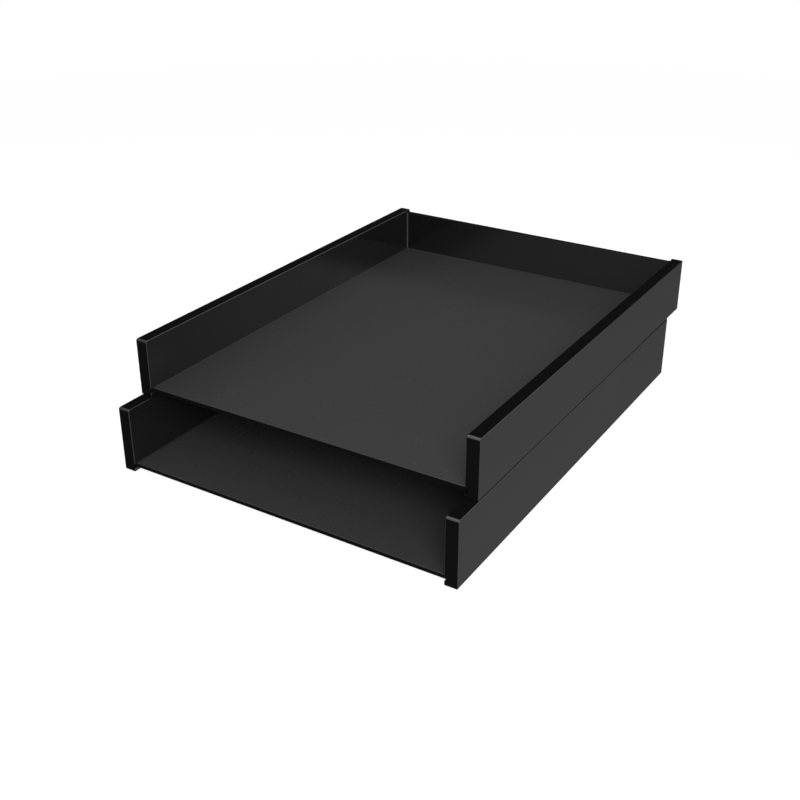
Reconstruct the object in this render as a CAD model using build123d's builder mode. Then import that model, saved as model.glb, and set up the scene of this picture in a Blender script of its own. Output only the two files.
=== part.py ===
"""A stack of two desk letter trays in thick black acrylic sheet.

Each tray has two solid side walls, a floor panel and a rear panel. The floor slides into a level groove
in each wall, and the rear panel stands on the floor in an upright groove near the walls' rear ends. The
front is open. Four rubber pads in pockets under the walls carry a tray. The lower tray is the deeper one.
The upper tray rests on the lower tray's walls, set back so that papers in the lower one are easy to reach,
and slides forward until the two fronts are flush.

The frame is +X to the right, +Y to the rear and +Z up, with the origin on the desk under the centre of the
stack. A tray is modelled in its own frame, which starts at its front, on what it stands on.
"""

from build123d import *
import os

# Driving dimensions, in millimetres.
tray_width = 255.0  # over the two side walls
tray_depth = 330.0  # length of a side wall
lower_wall_height = 46.0
upper_wall_height = 40.0
wall_thickness = 9.0
floor_thickness = 3.0
rear_thickness = 3.0
stagger = 22.0  # how far back the upper tray is set

floor_lift = 2.5  # from a wall's bottom edge to the floor's underside
floor_setback = 2.0  # from the walls' front ends to the floor's front edge
rear_margin = 1.2  # from the rear panel's back to the walls' rear ends
rear_drop = 1.5  # from the walls' top edges down to the rear panel's

groove_depth = 2.0
glue_gap = 0.1  # room for cement at the ends and on one side of a panel in its groove

front_radius = 1.6  # a wall's top front corner, seen from the side
corner_radius = 1.0  # its three other corners
edge_radius = 0.5  # all along a wall's polished edges
panel_edge_radius = 0.5  # the edges of a panel that a hand meets

pad_length = 24.0
pad_width = 5.5
pad_thickness = 1.5
pad_proud = 0.8  # how far a pad stands out of its pocket
pad_clearance = 0.1  # all round a pad in its pocket
pad_edge_radius = 0.25
pad_margin = 8.0  # what is left of the lower wall behind the upper tray's rear pads

# Places in a tray's own frame that several pieces share.
wall_bottom = pad_proud
floor_bottom = wall_bottom + floor_lift
floor_top = floor_bottom + floor_thickness
rear_back = tray_depth - rear_margin
rear_front = rear_back - rear_thickness
inner_x = tray_width / 2 - wall_thickness  # the walls' inner faces
panel_width = 2 * (inner_x + groove_depth - glue_gap)
pad_x = tray_width / 2 - wall_thickness / 2
pad_inset = stagger + pad_margin + pad_length / 2
pad_places = {"front": pad_inset, "rear": tray_depth - pad_inset}

# Each tray's wall height, and where it stands: the upper tray's pads are on the lower tray's walls.
stack_front = -(tray_depth + stagger) / 2
trays = {
    "lower": (lower_wall_height, Location((0, stack_front, 0))),
    "upper": (upper_wall_height, Location((0, stack_front + stagger, wall_bottom + lower_wall_height))),
}


def make_right_wall(wall_height):
    """A solid wall with polished, rounded edges, two panel grooves and two pad pockets."""
    with BuildPart() as wall:
        with BuildSketch(Plane.YZ.offset(inner_x)) as profile:
            with Locations((0, wall_bottom)):
                Rectangle(tray_depth, wall_height, align=(Align.MIN, Align.MIN))
            front_corners, rear_corners = profile.vertices().group_by(Axis.X)
            bottom_front, top_front = front_corners.sort_by(Axis.Y)
            fillet(top_front, radius=front_radius)
            fillet([bottom_front, *rear_corners], radius=corner_radius)
        extrude(amount=wall_thickness)
        fillet(wall.faces().filter_by(Axis.X).edges(), radius=edge_radius)

        # The floor's groove runs from the front end to the back of the rear panel's groove.
        with Locations((inner_x, 0, floor_bottom)):
            Box(
                groove_depth,
                rear_back,
                floor_thickness + glue_gap,
                align=(Align.MIN, Align.MIN, Align.MIN),
                mode=Mode.SUBTRACT,
            )
        # The rear panel's groove is open at the top.
        with Locations((inner_x, rear_back, floor_top)):
            Box(
                groove_depth,
                rear_thickness + glue_gap,
                wall_bottom + wall_height - floor_top,
                align=(Align.MIN, Align.MAX, Align.MIN),
                mode=Mode.SUBTRACT,
            )

        with BuildSketch(Plane.XY.offset(wall_bottom)):
            with Locations(*[(pad_x, y) for y in pad_places.values()]):
                SlotOverall(pad_length + 2 * pad_clearance, pad_width + 2 * pad_clearance, rotation=90)
        extrude(amount=pad_thickness - pad_proud, mode=Mode.SUBTRACT)
    return wall.part


def make_left_wall(right_wall):
    """The right wall's mirror image."""
    with BuildPart() as wall:
        add(right_wall)
        mirror(about=Plane.YZ, mode=Mode.REPLACE)
    return wall.part


def make_floor_panel():
    """The sheet that papers lie on, with a softened front edge."""
    with BuildPart() as floor:
        with BuildSketch(Plane.XY.offset(floor_bottom)):
            with Locations((0, floor_setback)):
                Rectangle(panel_width, rear_back - floor_setback, align=(Align.CENTER, Align.MIN))
        extrude(amount=floor_thickness)
        front = floor.faces().sort_by(Axis.Y)[0]
        fillet(front.edges().filter_by(Axis.X), radius=panel_edge_radius)
    return floor.part


def make_rear_panel(wall_height):
    """The sheet that stops papers at the back, standing on the floor, with a softened top edge."""
    rear_top = wall_bottom + wall_height - rear_drop
    with BuildPart() as rear:
        with BuildSketch(Plane.XZ.offset(-rear_front)):
            with Locations((0, floor_top)):
                Rectangle(panel_width, rear_top - floor_top, align=(Align.CENTER, Align.MIN))
        extrude(amount=-rear_thickness)
        top = rear.faces().sort_by(Axis.Z)[-1]
        fillet(top.edges().filter_by(Axis.X), radius=panel_edge_radius)
    return rear.part


def make_pad(x, y):
    """A thin rubber pad with round ends, bonded into its pocket, with a softened edge underneath."""
    with BuildPart() as pad:
        with BuildSketch():
            with Locations((x, y)):
                SlotOverall(pad_length, pad_width, rotation=90)
        extrude(amount=pad_thickness)
        fillet(pad.faces().sort_by(Axis.Z)[0].edges(), radius=pad_edge_radius)
    return pad.part


floor_panel = make_floor_panel()
pads = {}
for end, y in pad_places.items():
    for side, x in (("left", -pad_x), ("right", pad_x)):
        pads[f"pad_{end}_{side}"] = make_pad(x, y)

os.makedirs("parts", exist_ok=True)
for tray, (wall_height, place) in trays.items():
    right_wall = make_right_wall(wall_height)
    pieces = {
        "left_wall": make_left_wall(right_wall),
        "right_wall": right_wall,
        "floor": floor_panel,
        "rear_panel": make_rear_panel(wall_height),
        **pads,
    }
    for name, piece in pieces.items():
        placed = piece.moved(place)
        placed.label = f"{tray}_{name}"
        export_step(placed, f"parts/{placed.label}.step")
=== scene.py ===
"""The looks of a stack of two black acrylic letter trays, in metres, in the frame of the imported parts.

The walls and rear panels are glossy cast sheet with satin cut edges. The floors are satin sheet that papers
have slid over. The inside corners between sheets have fine beads of set cement, which are the only things
made here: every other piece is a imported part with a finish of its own. A pale seamless studio with soft
light stands round the stack.
"""

from __future__ import annotations

import logging
import math
from dataclasses import dataclass, field
from enum import Enum

import bmesh
import bpy
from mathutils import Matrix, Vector


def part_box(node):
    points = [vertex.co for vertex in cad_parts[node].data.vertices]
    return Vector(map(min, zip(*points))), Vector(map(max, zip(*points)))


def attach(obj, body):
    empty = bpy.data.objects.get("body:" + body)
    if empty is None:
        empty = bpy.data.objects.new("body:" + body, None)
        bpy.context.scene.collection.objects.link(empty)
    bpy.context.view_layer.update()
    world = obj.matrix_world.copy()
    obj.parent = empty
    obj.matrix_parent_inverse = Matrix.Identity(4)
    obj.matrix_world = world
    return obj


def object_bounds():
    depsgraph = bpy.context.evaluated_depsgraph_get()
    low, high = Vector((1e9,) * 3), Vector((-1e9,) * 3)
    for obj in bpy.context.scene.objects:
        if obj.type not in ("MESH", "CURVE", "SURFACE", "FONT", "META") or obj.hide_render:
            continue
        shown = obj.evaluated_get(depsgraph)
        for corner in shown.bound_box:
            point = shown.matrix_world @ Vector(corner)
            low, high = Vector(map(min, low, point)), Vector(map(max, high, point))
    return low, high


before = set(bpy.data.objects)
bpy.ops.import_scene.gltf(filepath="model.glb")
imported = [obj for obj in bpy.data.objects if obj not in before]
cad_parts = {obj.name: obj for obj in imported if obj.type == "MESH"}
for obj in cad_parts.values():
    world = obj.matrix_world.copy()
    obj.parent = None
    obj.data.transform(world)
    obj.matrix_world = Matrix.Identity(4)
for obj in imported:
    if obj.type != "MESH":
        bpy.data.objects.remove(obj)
cad_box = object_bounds()

log = logging.getLogger("letter_tray")

MM = 0.001


class Kind(str, Enum):
    """The shader nodes that the finishes and the studio are made of."""

    MATERIAL = "ShaderNodeOutputMaterial"
    WORLD = "ShaderNodeOutputWorld"
    SURFACE = "ShaderNodeBsdfPrincipled"
    DIFFUSE = "ShaderNodeBsdfDiffuse"
    GLOW = "ShaderNodeEmission"
    SKY = "ShaderNodeBackground"
    BLEND = "ShaderNodeMixShader"
    MATHS = "ShaderNodeMath"
    VECTOR = "ShaderNodeVectorMath"
    COLOUR = "ShaderNodeMix"
    RANGE = "ShaderNodeMapRange"
    NOISE = "ShaderNodeTexNoise"
    CELLS = "ShaderNodeTexVoronoi"
    PLACE = "ShaderNodeTexCoord"
    SPLIT = "ShaderNodeSeparateXYZ"
    BUMP = "ShaderNodeBump"


class Axis(str, Enum):
    """An axis of the stack's frame that a finish reads a surface's facing along."""

    ALONG = "Y"
    UP = "Z"


class Side(Enum):
    """A side of a tray, by the sign of its X."""

    LEFT = -1
    RIGHT = 1


class Field:
    """A number that varies over a surface: a shader socket that Python expressions add Math nodes to."""

    def __init__(self, shader: Shader, socket: bpy.types.NodeSocket) -> None:
        """Wraps a socket.

        Args:
            shader: the shader that new nodes are added to.
            socket: the output that holds the number.
        """
        self.shader = shader
        self.socket = socket

    def _maths(self, operation: str, *terms: Field | float) -> Field:
        """Adds one Math node.

        Args:
            operation: the node's operation.
            *terms: its inputs, in order.

        Returns:
            The node's result.
        """
        inputs = {str(place): term for place, term in enumerate(terms)}
        return self.shader.field(self.shader.node(Kind.MATHS, {"operation": operation}, inputs))

    def __add__(self, other: Field | float) -> Field:
        """self + other."""
        return self._maths("ADD", self, other)

    __radd__ = __add__

    def __sub__(self, other: Field | float) -> Field:
        """self - other."""
        return self._maths("SUBTRACT", self, other)

    def __rsub__(self, other: Field | float) -> Field:
        """other - self."""
        return self._maths("SUBTRACT", other, self)

    def __mul__(self, other: Field | float) -> Field:
        """self * other."""
        return self._maths("MULTIPLY", self, other)

    __rmul__ = __mul__

    def __abs__(self) -> Field:
        """The size of self, without its sign."""
        return self._maths("ABSOLUTE", self)

    def most(self, other: Field | float) -> Field:
        """The larger of self and other."""
        return self._maths("MAXIMUM", self, other)

    def ramp(self, low: float, high: float, start: float = 0.0, end: float = 1.0) -> Field:
        """Turns a stretch of values into another with soft ends.

        Args:
            low: the value that gives start.
            high: the value that gives end.
            start: the result at and below low.
            end: the result at and above high.

        Returns:
            The result.
        """
        inputs = {"Value": self, "From Min": low, "From Max": high, "To Min": start, "To Max": end}
        settings = {"interpolation_type": "SMOOTHSTEP"}
        return self.shader.field(self.shader.node(Kind.RANGE, settings, inputs))


# What a socket takes, a texture's features to the metre along X, Y and Z, and the two ends of a ramp.
Input = Field | bpy.types.NodeSocket | float | tuple
Counts = tuple[float, float, float]
Span = tuple[float, float]


class Shader:
    """The nodes of one material or of the world."""

    def __init__(self, owner: bpy.types.Material | bpy.types.World, output: Kind) -> None:
        """Starts from an empty tree.

        Args:
            owner: the material or the world.
            output: the type of its output node.
        """
        owner.use_nodes = True
        owner.node_tree.nodes.clear()
        self.owner = owner
        self.output = output
        self.tree = owner.node_tree

    @classmethod
    def material(cls, name: str) -> Shader:
        """Starts a material of that name."""
        return cls(bpy.data.materials.new(name), Kind.MATERIAL)

    @classmethod
    def world(cls, name: str) -> Shader:
        """Starts a world of that name."""
        return cls(bpy.data.worlds.new(name), Kind.WORLD)

    def finish(self, last: bpy.types.Node) -> bpy.types.Material | bpy.types.World:
        """Links the last node's result to the output, and returns the finished material or world."""
        self.node(self.output, {}, {"Surface": last.outputs[0]})
        return self.owner

    def node(self, kind: Kind, settings: dict[str, str], inputs: dict[str, Input]) -> bpy.types.Node:
        """Adds a node.

        Args:
            kind: the node's type.
            settings: the node's own settings, which are set before its sockets.
            inputs: a value or a link for each socket, by its name, or by its place where names repeat.

        Returns:
            The node.
        """
        made = self.tree.nodes.new(kind.value)
        for setting, value in settings.items():
            setattr(made, setting, value)
        for place, value in inputs.items():
            socket = made.inputs[int(place)] if place.isdigit() else made.inputs[place]
            if isinstance(value, Field):
                self.tree.links.new(value.socket, socket)
            elif isinstance(value, bpy.types.NodeSocket):
                self.tree.links.new(value, socket)
            else:
                socket.default_value = value
        return made

    def field(self, node: bpy.types.Node, output: int | str = 0) -> Field:
        """Wraps a node's output as a number."""
        return Field(self, node.outputs[output])

    def place(self) -> bpy.types.NodeSocket:
        """The point on the surface, in metres, which stays with its piece."""
        return self.node(Kind.PLACE, {}, {}).outputs["Object"]

    def facing(self, axis: Axis) -> Field:
        """How much the surface faces along an axis, on its piece, from -1 to 1."""
        normal = self.node(Kind.PLACE, {}, {}).outputs["Normal"]
        return self.field(self.node(Kind.SPLIT, {}, {"Vector": normal}), axis.value)

    def noise(self, counts: Counts, detail: float = 2.0) -> Field:
        """Noise from 0 to 1.

        Args:
            counts: features to the metre along X, Y and Z.
            detail: how many finer layers it has.

        Returns:
            The noise.
        """
        place = self.node(Kind.VECTOR, {"operation": "MULTIPLY"}, {"0": self.place(), "1": counts})
        inputs = {"Vector": place.outputs["Vector"], "Scale": 1.0, "Detail": detail}
        return self.field(self.node(Kind.NOISE, {"noise_dimensions": "3D"}, inputs))

    def tint(self, mask: Field, off: Input, on: Input) -> bpy.types.NodeSocket:
        """Mixes two colours.

        Args:
            mask: 0 for the first colour and 1 for the second.
            off: the first colour.
            on: the second colour.

        Returns:
            The mixed colour.
        """
        settings = {"data_type": "RGBA", "blend_type": "MIX"}
        return self.node(Kind.COLOUR, settings, {"0": mask, "6": off, "7": on}).outputs[2]

    def bump(
        self, height: Field, depth: float, before: bpy.types.NodeSocket | None = None
    ) -> bpy.types.NodeSocket:
        """Turns heights into a bent normal.

        Args:
            height: the surface's height, from 0 to 1.
            depth: the height of 1, in metres.
            before: an earlier bump's normal.

        Returns:
            The normal.
        """
        inputs: dict[str, Input] = {"Height": height, "Distance": depth, "Strength": 1.0}
        if before is not None:
            inputs["Normal"] = before
        return self.node(Kind.BUMP, {}, inputs).outputs["Normal"]


def grey(level: float, warmth: float = 0.0) -> tuple[float, float, float, float]:
    """A linear grey.

    Args:
        level: its brightness.
        warmth: how much redder than blue it is, as a share of its brightness.

    Returns:
        The colour.
    """
    return (level * (1 + warmth / 2), level, level * (1 - warmth / 2), 1.0)


@dataclass(frozen=True)
class Marks:
    """Marks with soft ends, where a noise is high. They start at the first number of the span."""

    counts: Counts
    detail: float
    span: Span

    def show(self, s: Shader) -> Field:
        """Adds the marks to a finish: 0 off them and 1 on them."""
        return s.noise(self.counts, self.detail).ramp(*self.span)


@dataclass(frozen=True)
class Dust:
    """Fine dust: small round specks, which lie thickest on what faces up.

    A cell has at most one speck. The size is a speck's radius, as a share of a cell, and the share is how
    many of the cells have one. A surface that faces up by the second number of the slope or more has all of
    its specks, and one that faces up by the first or less has them as thin as the steep share.
    """

    cells_per_metre: float
    size: float
    share: float
    slope: Span = (-0.1, 0.8)
    steep_share: float = 0.15
    core_share: float = 0.5
    faint_share: float = 0.7
    face: float = 0.07
    warmth: float = 0.08

    def lie(self, s: Shader) -> Field:
        """Adds the specks to a finish.

        Args:
            s: the finish's shader.

        Returns:
            From 0 off a speck to 1 on one.
        """
        inputs = {"Vector": s.place(), "Scale": self.cells_per_metre}
        cells = s.node(Kind.CELLS, {"feature": "F1"}, inputs)
        draw = s.field(s.node(Kind.SPLIT, {}, {"Vector": cells.outputs["Color"]}), "X")
        chosen = draw.ramp(1 - self.share, 1 - self.faint_share * self.share)
        round_specks = s.field(cells, "Distance").ramp(self.core_share * self.size, self.size, 1.0, 0.0)
        lying = s.facing(Axis.UP).ramp(*self.slope, self.steep_share, 1.0)
        return round_specks * chosen * lying

    def over(self, s: Shader, specks: Field, bare: Input) -> bpy.types.NodeSocket:
        """Colours a surface that the dust lies on.

        Args:
            s: the finish's shader.
            specks: where the dust lies.
            bare: the surface's own colour.

        Returns:
            The colour.
        """
        return s.tint(specks, bare, grey(self.face, self.warmth))


@dataclass(frozen=True)
class CutEdge:
    """A sawn edge of the sheet, rubbed down to a dark satin that still shows the saw's lines.

    There are few of the saw's lines across the sheet's thickness, and many along the edge.
    """

    saw_lines: Counts
    face: float = 0.0021
    roughness: float = 0.2
    ior: float = 1.04
    blotches: Counts = (90.0, 90.0, 90.0)
    blotch_roughness: float = 0.12
    saw_roughness: float = 0.06
    saw_depth: float = 0.004 * MM
    dust_face: float = 0.05
    dust_warmth: float = 0.08

    def build(self, s: Shader, specks: Field) -> bpy.types.Node:
        """Adds the edge's shading to a sheet's shader.

        Args:
            s: the sheet's shader.
            specks: where dust lies.

        Returns:
            The node that shades the edge.
        """
        saw = s.noise(self.saw_lines)
        blotch = s.noise(self.blotches)
        return s.node(Kind.SURFACE, {}, {
            "Base Color": s.tint(specks, grey(self.face), grey(self.dust_face, self.dust_warmth)),
            "Roughness": self.roughness + self.blotch_roughness * blotch + self.saw_roughness * saw,
            "IOR": self.ior,
            "Normal": s.bump(saw, self.saw_depth),
        })


@dataclass(frozen=True)
class Sheet:
    """A cast acrylic sheet, with one finish on its faces and another on its cut edges."""

    name: str
    face: float
    roughness: float
    ior: float
    dust: Dust
    edge: CutEdge

    def faces(self, s: Shader, specks: Field) -> bpy.types.Node:
        """Adds the shading of the faces.

        Args:
            s: the sheet's shader.
            specks: where dust lies.

        Returns:
            The node that shades the faces.
        """
        raise NotImplementedError

    def cut(self, s: Shader) -> Field:
        """Finds the cut edges: 1 on them and 0 on the faces."""
        raise NotImplementedError

    def build(self) -> bpy.types.Material:
        """Makes the material.

        Returns:
            The material.
        """
        s = Shader.material(self.name)
        specks = self.dust.lie(s)
        faces, edges = self.faces(s, specks), self.edge.build(s, specks)
        inputs = {"0": self.cut(s), "1": faces.outputs[0], "2": edges.outputs[0]}
        return s.finish(s.node(Kind.BLEND, {}, inputs))


@dataclass(frozen=True)
class GlossSheet(Sheet):
    """A side wall's sheet, with polished faces across X. Its cut edges run all round it."""

    name: str = "polished_sheet"
    face: float = 0.0038
    roughness: float = 0.045
    ior: float = 2.15
    dust: Dust = Dust(cells_per_metre=620.0, size=0.13, share=0.16)
    edge: CutEdge = CutEdge(saw_lines=(45.0, 1500.0, 1500.0))
    hairlines: Marks = Marks(counts=(2600.0, 26.0, 1900.0), detail=3.0, span=(0.62, 0.78))
    hairline_roughness: float = 0.05
    hairline_depth: float = 0.0006 * MM
    smudges: Marks = Marks(counts=(17.0, 11.0, 23.0), detail=4.0, span=(0.52, 0.75))
    smudge_roughness: float = 0.05
    smudge_share: float = 0.5
    smudge_face: float = 0.0076
    ripples: Counts = (38.0, 30.0, 38.0)
    ripple_detail: float = 1.0
    ripple_depth: float = 0.012 * MM
    dust_roughness: float = 0.4
    cut_facing: Span = (0.955, 0.998)
    # from here the rounding below a wall takes the dark edge finish, as painted shade along the seam between
    # the trays
    under_facing: Span = (0.02, 0.25)

    def faces(self, s: Shader, specks: Field) -> bpy.types.Node:
        """Adds the shading of the faces: a gloss with slow ripples, smudges, hairlines and dust.

        Args:
            s: the sheet's shader.
            specks: where dust lies.

        Returns:
            The node that shades the faces.
        """
        hairline, smudge = self.hairlines.show(s), self.smudges.show(s)
        waves = s.bump(s.noise(self.ripples, self.ripple_detail), self.ripple_depth)
        marks = self.smudge_roughness * smudge + self.hairline_roughness * hairline
        touched = s.tint(self.smudge_share * smudge, grey(self.face), grey(self.smudge_face))
        return s.node(Kind.SURFACE, {}, {
            "Base Color": self.dust.over(s, specks, touched),
            "Roughness": self.roughness + marks + self.dust_roughness * specks,
            "IOR": self.ior,
            "Normal": s.bump(hairline, self.hairline_depth, waves),
        })

    def cut(self, s: Shader) -> Field:
        """Finds the cut edges, and the rounding below a wall, which takes the dark edge finish as painted
        shade along the seam where one tray stands on another.

        Args:
            s: the sheet's shader.

        Returns:
            1 on them, and 0 on the faces and the polished roundings.
        """
        up = s.facing(Axis.UP)
        # painted shade: the rounding below a wall is darkened like a cut edge, for the dark seam between the
        # stacked trays
        seam_shade = (0.0 - up).ramp(*self.under_facing)
        return abs(up).most(abs(s.facing(Axis.ALONG))).ramp(*self.cut_facing).most(seam_shade)


@dataclass(frozen=True)
class GlossPanel(GlossSheet):
    """A rear panel's sheet, with polished faces across Y and a satin top edge.

    Its smudges change its gloss and not its colour.
    """

    name: str = "polished_panel"
    face: float = 0.0014
    roughness: float = 0.05
    ior: float = 2.1
    dust: Dust = Dust(cells_per_metre=640.0, size=0.13, share=0.14)
    edge: CutEdge = CutEdge(saw_lines=(1500.0, 45.0, 1500.0))
    hairlines: Marks = Marks(counts=(22.0, 2600.0, 1700.0), detail=3.0, span=(0.62, 0.78))
    hairline_roughness: float = 0.06
    smudges: Marks = Marks(counts=(12.0, 17.0, 25.0), detail=4.0, span=(0.52, 0.75))
    smudge_face: float = 0.0014
    ripples: Counts = (30.0, 30.0, 36.0)
    cut_facing: Span = (0.1, 0.5)

    def cut(self, s: Shader) -> Field:
        """Finds the top edge with its rounding: 1 on them and 0 on the faces."""
        return s.facing(Axis.UP).ramp(*self.cut_facing)


@dataclass(frozen=True)
class SatinSheet(Sheet):
    """A floor's sheet: fine satin that papers lie on, with the faint tracks that they leave as they slide."""

    name: str = "paper_worn_satin"
    face: float = 0.0158
    roughness: float = 0.29
    ior: float = 1.42
    dust: Dust = Dust(cells_per_metre=540.0, size=0.14, share=0.13, slope=(0.0, 0.8), steep_share=0.0)
    edge: CutEdge = CutEdge(saw_lines=(1500.0, 1500.0, 45.0))
    tracks: Marks = Marks(counts=(1500.0, 9.0, 40.0), detail=3.0, span=(0.6, 0.8))
    track_share: float = 0.3
    track_tone: float = 1.35
    track_gloss: float = 0.08
    track_depth: float = 0.0002 * MM
    patches: Marks = Marks(counts=(9.0, 5.0, 9.0), detail=3.0, span=(0.35, 0.75))
    patch_tone: float = 1.08
    patch_gloss: float = 0.06
    grains: Counts = (2400.0, 2400.0, 2400.0)
    grain_depth: float = 0.0012 * MM
    dust_roughness: float = 0.2
    cut_facing: Span = (0.6, 0.95)

    def faces(self, s: Shader, specks: Field) -> bpy.types.Node:
        """Adds the shading of the faces: a fine grain, worn patches, tracks and dust.

        Args:
            s: the sheet's shader.
            specks: where dust lies.

        Returns:
            The node that shades the faces.
        """
        track, worn = self.tracks.show(s), self.patches.show(s)
        shade = s.tint(worn, grey(self.face), grey(self.face * self.patch_tone))
        scuffed = s.tint(self.track_share * track, shade, grey(self.face * self.track_tone))
        rubbed = self.roughness - self.patch_gloss * worn - self.track_gloss * track
        return s.node(Kind.SURFACE, {}, {
            "Base Color": self.dust.over(s, specks, scuffed),
            "Roughness": rubbed + self.dust_roughness * specks,
            "IOR": self.ior,
            "Normal": s.bump(track, self.track_depth, s.bump(s.noise(self.grains), self.grain_depth)),
        })

    def cut(self, s: Shader) -> Field:
        """Finds the front and rear edges: 1 on them and 0 on the faces."""
        return abs(s.facing(Axis.ALONG)).ramp(*self.cut_facing)


@dataclass(frozen=True)
class PadRubber:
    """Matt black rubber with a fine moulded grain, greyed a little where it rubs."""

    name: str = "grained_rubber"
    face: float = 0.016
    roughness: float = 0.82
    grains: Counts = (3200.0, 3200.0, 3200.0)
    grain_detail: float = 3.0
    grain_roughness: float = 0.08
    grain_depth: float = 0.02 * MM
    rubs: Marks = Marks(counts=(260.0, 90.0, 260.0), detail=3.0, span=(0.4, 0.7))
    rub_gloss: float = 0.12
    rub_tone: float = 2.2
    rub_warmth: float = 0.05
    under_facing: Span = (0.5, 1.0)

    def build(self) -> bpy.types.Material:
        """Makes the material.

        Returns:
            The material.
        """
        s = Shader.material(self.name)
        grain = s.noise(self.grains, self.grain_detail)
        underside = (0.0 - s.facing(Axis.UP)).ramp(*self.under_facing)
        rubbed = underside * self.rubs.show(s)
        return s.finish(s.node(Kind.SURFACE, {}, {
            "Base Color": s.tint(rubbed, grey(self.face), grey(self.face * self.rub_tone, self.rub_warmth)),
            "Roughness": self.roughness - self.rub_gloss * rubbed + self.grain_roughness * grain,
            "Normal": s.bump(grain, self.grain_depth),
        }))


@dataclass(frozen=True)
class SetCement:
    """Solvent cement, set: a soft gloss, a little milky where the bead is thick, with slight swells."""

    name: str = "set_cement_painted_highlight"
    # at this brightness the upright beads in the rear inside corners show as bright lines: a painted
    # highlight on real cement beads; the floor beads' clear cement is darker
    face: float = 0.02
    roughness: float = 0.12
    swells: Counts = (210.0, 210.0, 210.0)
    swell_tone: float = 1.6
    swell_roughness: float = 0.08
    swell_depth: float = 0.05 * MM

    def build(self) -> bpy.types.Material:
        """Makes the material.

        Returns:
            The material.
        """
        s = Shader.material(self.name)
        swell = s.noise(self.swells)
        return s.finish(s.node(Kind.SURFACE, {}, {
            "Base Color": s.tint(swell, grey(self.face), grey(self.face * self.swell_tone)),
            "Roughness": self.roughness + self.swell_roughness * swell,
            "Normal": s.bump(swell, self.swell_depth),
        }))


@dataclass
class Finishes:
    """The materials that the stack is dressed in, each made once."""

    wall: bpy.types.Material = field(default_factory=lambda: GlossSheet().build())
    rear: bpy.types.Material = field(default_factory=lambda: GlossPanel().build())
    floor: bpy.types.Material = field(default_factory=lambda: SatinSheet().build())
    pad: bpy.types.Material = field(default_factory=lambda: PadRubber().build())
    # the upright beads' cement, brightened as a painted highlight along the rear inside corners
    cement: bpy.types.Material = field(default_factory=lambda: SetCement().build())
    clear_cement: bpy.types.Material = field(
        default_factory=lambda: SetCement(name="clear_cement", face=0.007).build()
    )


@dataclass
class CementBead:
    """A fine concave fillet of cement in the inside corner of two sheets, swept round mitred turns.

    It runs straight from one point of the corner to the next. At each point it has the two ways out of the
    corner, along the one sheet and along the other.
    """

    name: str
    body: str
    corners: list[Vector]
    across: list[Vector]
    above: list[Vector]
    radius: float = 0.45 * MM
    sunk: float = 0.04 * MM
    arc_steps: int = 6
    crease: float = 40.0

    def outline(self) -> list[tuple[float, float]]:
        """The bead's section, as lengths along the two sheets from their corner.

        Returns:
            The points: its back, sunk into the sheets, and then its concave front.
        """
        angles = [math.pi / 2 * step / self.arc_steps for step in range(self.arc_steps + 1)]
        front = [(self.radius * (1 - math.sin(a)), self.radius * (1 - math.cos(a))) for a in angles]
        return [(-self.sunk, -self.sunk), (self.radius, -self.sunk), *front, (-self.sunk, self.radius)]

    def build(self, finish: bpy.types.Material) -> bpy.types.Object:
        """Sweeps the section along the corners and closes both ends.

        Args:
            finish: the material.

        Returns:
            The bead.
        """
        mesh = bmesh.new()
        rings = []
        for corner, across, above in zip(self.corners, self.across, self.above):
            points = [corner + u * across + v * above for u, v in self.outline()]
            rings.append([mesh.verts.new(point) for point in points])
        for ring, after in zip(rings, rings[1:]):
            for k in range(len(ring)):
                j = (k + 1) % len(ring)
                mesh.faces.new((ring[k], ring[j], after[j], after[k]))
        mesh.faces.new(rings[0])
        mesh.faces.new(reversed(rings[-1]))
        bmesh.ops.recalc_face_normals(mesh, faces=mesh.faces)
        data = bpy.data.meshes.new(self.name)
        mesh.to_mesh(data)
        mesh.free()
        data.materials.append(finish)
        data.shade_smooth()
        data.set_sharp_from_angle(angle=math.radians(self.crease))
        bead = bpy.data.objects.new(self.name, data)
        bpy.context.scene.collection.objects.link(bead)
        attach(bead, self.body)
        return bead


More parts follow.
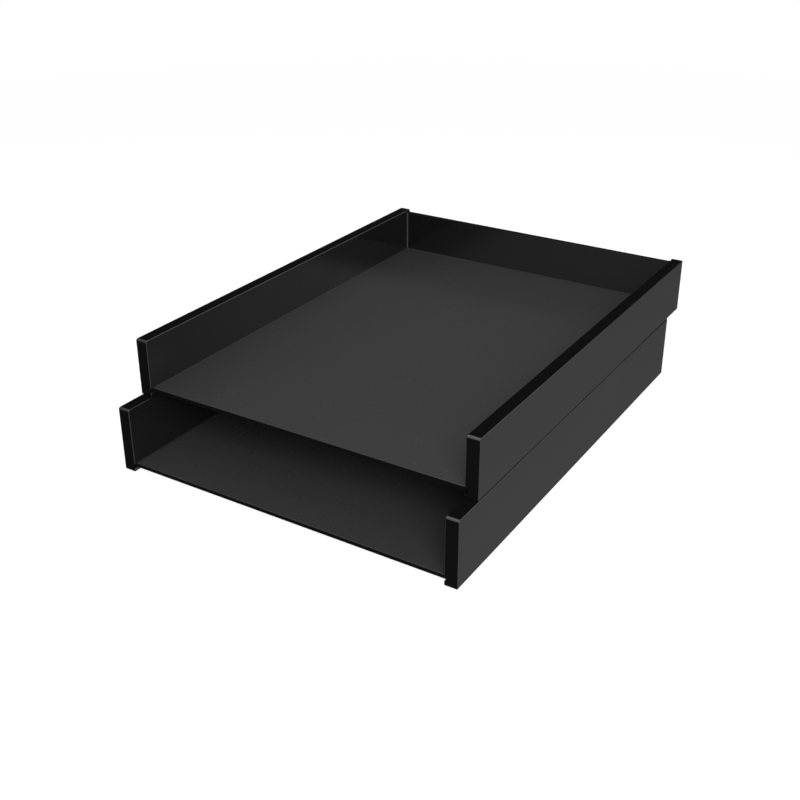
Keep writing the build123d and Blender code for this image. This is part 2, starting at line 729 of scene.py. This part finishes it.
@dataclass
class Tray:
    """One tray of the stack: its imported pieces, and the cement in its inside corners.

    The floor's bead stops short of the floor's front edge. An upright bead starts inside the floor's bead, at
    a share of that one's radius, and stops short of the rear panel's top.
    """

    name: str
    front_gap: float = 0.8 * MM
    top_gap: float = 0.6 * MM
    upright_radius: float = 0.8 * MM
    upright_start: float = 0.8

    def node(self, piece: str) -> str:
        """The name of one of the tray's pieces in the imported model."""
        return f"{self.name}_{piece}"

    def dress(self, finishes: Finishes) -> list[bpy.types.Object]:
        """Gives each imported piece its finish.

        Args:
            finishes: the materials.

        Returns:
            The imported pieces.
        """
        wear = {"left_wall": finishes.wall, "right_wall": finishes.wall}
        wear |= {"floor": finishes.floor, "rear_panel": finishes.rear}
        wear |= {f"pad_{end}_{side.name.lower()}": finishes.pad for end in ("front", "rear") for side in Side}
        dressed = []
        for piece, finish in wear.items():
            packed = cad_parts[self.node(piece)]
            packed.data.materials.clear()
            packed.data.materials.append(finish)
            dressed.append(packed)
        return dressed

    def build(self, finishes: Finishes) -> list[bpy.types.Object]:
        """Makes the tray's cement beads.

        Args:
            finishes: the materials.

        Returns:
            The beads.
        """
        inner = {
            Side.LEFT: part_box(self.node("left_wall"))[1].x,
            Side.RIGHT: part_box(self.node("right_wall"))[0].x,
        }
        floor_low, floor_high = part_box(self.node("floor"))
        rear_low, rear_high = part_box(self.node("rear_panel"))
        front, back, deck = floor_low.y + self.front_gap, rear_low.y, floor_high.z
        right, forward, up = Vector((1, 0, 0)), Vector((0, -1, 0)), Vector((0, 0, 1))

        route = [(Side.LEFT, front), (Side.LEFT, back), (Side.RIGHT, back), (Side.RIGHT, front)]
        beads = [CementBead(
            f"{self.name}_cement_floor",
            f"{self.name}_tray",
            [Vector((inner[side], y, deck)) for side, y in route],
            [-side.value * right + (forward if y == back else Vector()) for side, y in route],
            [up] * len(route),
        )]
        ends = (deck + beads[0].radius * self.upright_start, rear_high.z - self.top_gap)
        for side in Side:
            beads.append(CementBead(
                f"{self.name}_cement_rear_{side.name.lower()}",
                f"{self.name}_tray",
                [Vector((inner[side], back, z)) for z in ends],
                [-side.value * right] * 2,
                [forward] * 2,
                radius=self.upright_radius,
            ))
        # the upright beads wear the bright cement, a painted highlight in the rear inside corners
        return [beads[0].build(finishes.clear_cement), *[bead.build(finishes.cement) for bead in beads[1:]]]


@dataclass(frozen=True)
class Glow:
    """A soft patch of light in the sky, or below the horizon, that shows in the gloss."""

    azimuth: float
    elevation: float
    core: float
    reach: float
    strength: float

    def way(self) -> tuple[float, float, float]:
        """The direction of its middle. Azimuth 0 is to the rear and 90 to the right, in degrees."""
        a, e = math.radians(self.azimuth), math.radians(self.elevation)
        return (math.sin(a) * math.cos(e), math.cos(a) * math.cos(e), math.sin(e))

    def cast(self, s: Shader, way: bpy.types.NodeSocket) -> Field:
        """Adds the patch to a sky.

        Args:
            s: the world's shader.
            way: the direction that is looked at.

        Returns:
            The patch's light in that direction.
        """
        dot = s.node(Kind.VECTOR, {"operation": "DOT_PRODUCT"}, {"0": way, "1": self.way()})
        low, high = math.cos(math.radians(self.reach)), math.cos(math.radians(self.core))
        return s.field(dot, "Value").ramp(low, high, 0.0, self.strength)


@dataclass(frozen=True)
class SoftBox:
    """A large square light that doesn't show in the gloss. It stands at an offset from what it faces."""

    name: str
    offset: tuple[float, float, float]
    size: float
    watts: float

    def build(self, aim: Vector) -> None:
        """Adds the light, facing a point.

        Args:
            aim: the point.
        """
        data = bpy.data.lights.new(self.name, "AREA")
        data.shape, data.size, data.energy = "SQUARE", self.size, self.watts
        lamp = bpy.data.objects.new(self.name, data)
        lamp.location = aim + Vector(self.offset)
        lamp.rotation_euler = Vector(self.offset).to_track_quat("Z", "Y").to_euler()
        lamp.visible_glossy = False
        bpy.context.scene.collection.objects.link(lamp)


@dataclass
class Studio:
    """A pale seamless studio: a floor that fades into a backdrop, soft patches of light and two soft boxes.

    The floor takes a share of shade near the stack, which ends between the two distances of its seam.
    """

    radius: float = 11.0
    pale: float = 1.0
    shaded_grey: float = 0.9
    shaded_share: float = 0.2
    seam_near: float = 0.45
    seam_far: float = 1.6
    floor_segments: int = 96
    dome_rings: int = 32
    ambient: float = 0.05
    glows: tuple[Glow, ...] = (
        Glow(azimuth=75, elevation=-30, core=15, reach=75, strength=0.185),
        Glow(azimuth=0, elevation=88, core=15, reach=60, strength=0.7),
        Glow(azimuth=175, elevation=28, core=20, reach=58, strength=0.5),
        Glow(azimuth=30, elevation=28, core=3, reach=16, strength=0.9),
        Glow(azimuth=122, elevation=-26, core=3, reach=16, strength=0.6),
        Glow(azimuth=272, elevation=-30, core=15, reach=65, strength=0.185),
        Glow(azimuth=328, elevation=14, core=12, reach=36, strength=0.115),
    )
    boxes: tuple[SoftBox, ...] = (
        SoftBox("top_box", offset=(0.15, -0.35, 1.4), size=1.3, watts=9.0),
        SoftBox("front_box", offset=(0.85, -1.3, 0.95), size=1.1, watts=74.0),
    )

    def even_light(self, s: Shader) -> bpy.types.Node:
        """Adds the pale light that the floor and the backdrop give out alike."""
        return s.node(Kind.GLOW, {}, {"Color": grey(self.pale), "Strength": 1.0})

    def ground(self) -> bpy.types.Object:
        """Makes the floor, which shows soft shade near the stack and none far from it.

        Returns:
            The floor.
        """
        mesh = bmesh.new()
        bmesh.ops.create_circle(mesh, cap_ends=True, segments=self.floor_segments, radius=self.radius)
        data = bpy.data.meshes.new("studio_floor")
        mesh.to_mesh(data)
        mesh.free()
        s = Shader.material("studio_pale")
        length = s.node(Kind.VECTOR, {"operation": "LENGTH"}, {"0": s.place()})
        far = s.field(length, "Value").ramp(self.seam_near, self.seam_far)
        shaded = s.node(Kind.DIFFUSE, {}, {"Color": grey(self.shaded_grey)})
        share = (1 - self.shaded_share) + self.shaded_share * far
        inputs = {"0": share, "1": shaded.outputs[0], "2": self.even_light(s).outputs[0]}
        data.materials.append(s.finish(s.node(Kind.BLEND, {}, inputs)))
        floor = bpy.data.objects.new("studio_floor", data)
        floor.visible_glossy = False
        return floor

    def dome(self) -> bpy.types.Object:
        """Makes the backdrop, which only the camera sees.

        Returns:
            The backdrop.
        """
        mesh = bmesh.new()
        bmesh.ops.create_uvsphere(
            mesh, u_segments=2 * self.dome_rings, v_segments=self.dome_rings, radius=self.radius
        )
        data = bpy.data.meshes.new("studio_backdrop")
        mesh.to_mesh(data)
        mesh.free()
        s = Shader.material("studio_backdrop")
        data.materials.append(s.finish(self.even_light(s)))
        backdrop = bpy.data.objects.new("studio_backdrop", data)
        backdrop.visible_glossy = False
        backdrop.visible_diffuse = False
        backdrop.visible_transmission = False
        backdrop.visible_shadow = False
        return backdrop

    def sky(self) -> None:
        """Makes the world that the gloss reflects."""
        s = Shader.world("studio_sky")
        way = s.node(Kind.PLACE, {}, {}).outputs["Generated"]
        light = self.glows[0].cast(s, way) + self.ambient
        for glow in self.glows[1:]:
            light = light + glow.cast(s, way)
        bpy.context.scene.world = s.finish(s.node(Kind.SKY, {}, {"Color": grey(1.0), "Strength": light}))

    def build(self) -> None:
        """Sets up the whole studio."""
        for stage in (self.ground(), self.dome()):
            bpy.context.scene.collection.objects.link(stage)
            log.info("%s stands round the stack", stage.name)
        self.sky()
        middle = (cad_box[0] + cad_box[1]) / 2
        for box in self.boxes:
            box.build(middle)


@dataclass
class ProductCamera:
    """The camera. It looks at a point behind the stack's front and above the desk, from a distance.

    It is then moved left and down, square to the way that it looks.
    """

    azimuth: float = 31.767
    elevation: float = 25.883
    distance: float = 0.7952
    moved_left: float = 0.01138
    moved_down: float = 0.0244
    behind_front: float = 0.16575
    above_desk: float = 0.06375
    lens: float = 50.65
    sensor: float = 36.0
    shift: float = -0.035
    sight: float = 100.0

    def build(self) -> None:
        """Makes the camera and gives it to the scene."""
        a, e = math.radians(self.azimuth), math.radians(self.elevation)
        back = Vector((math.sin(a) * math.cos(e), -math.cos(a) * math.cos(e), math.sin(e)))
        across = Vector((math.cos(a), math.sin(a), 0.0))
        above = back.cross(across)
        low, high = cad_box
        aim = Vector(((low.x + high.x) / 2, low.y + self.behind_front, low.z + self.above_desk))
        data = bpy.data.cameras.new("product_camera")
        data.sensor_width, data.lens, data.shift_y = self.sensor, self.lens, self.shift
        data.clip_end = self.sight
        camera = bpy.data.objects.new("product_camera", data)
        camera.location = aim + self.distance * back - self.moved_left * across - self.moved_down * above
        camera.rotation_euler = back.to_track_quat("Z", "Y").to_euler()
        bpy.context.scene.collection.objects.link(camera)
        bpy.context.scene.camera = camera


def main() -> None:
    """Builds the studio and the camera, and then each tray of the stack."""
    logging.basicConfig(level=logging.INFO, format="%(message)s")
    bpy.context.scene.view_settings.view_transform = "Standard"
    Studio().build()
    ProductCamera().build()
    finishes = Finishes()
    for name in ("lower", "upper"):
        tray = Tray(name)
        for packed in tray.dress(finishes):
            log.info("%s wears %s", packed.name, packed.data.materials[0].name)
        for bead in tray.build(finishes):
            log.info("%s made, %d faces", bead.name, len(bead.data.polygons))


if __name__ == "__main__":
    main()
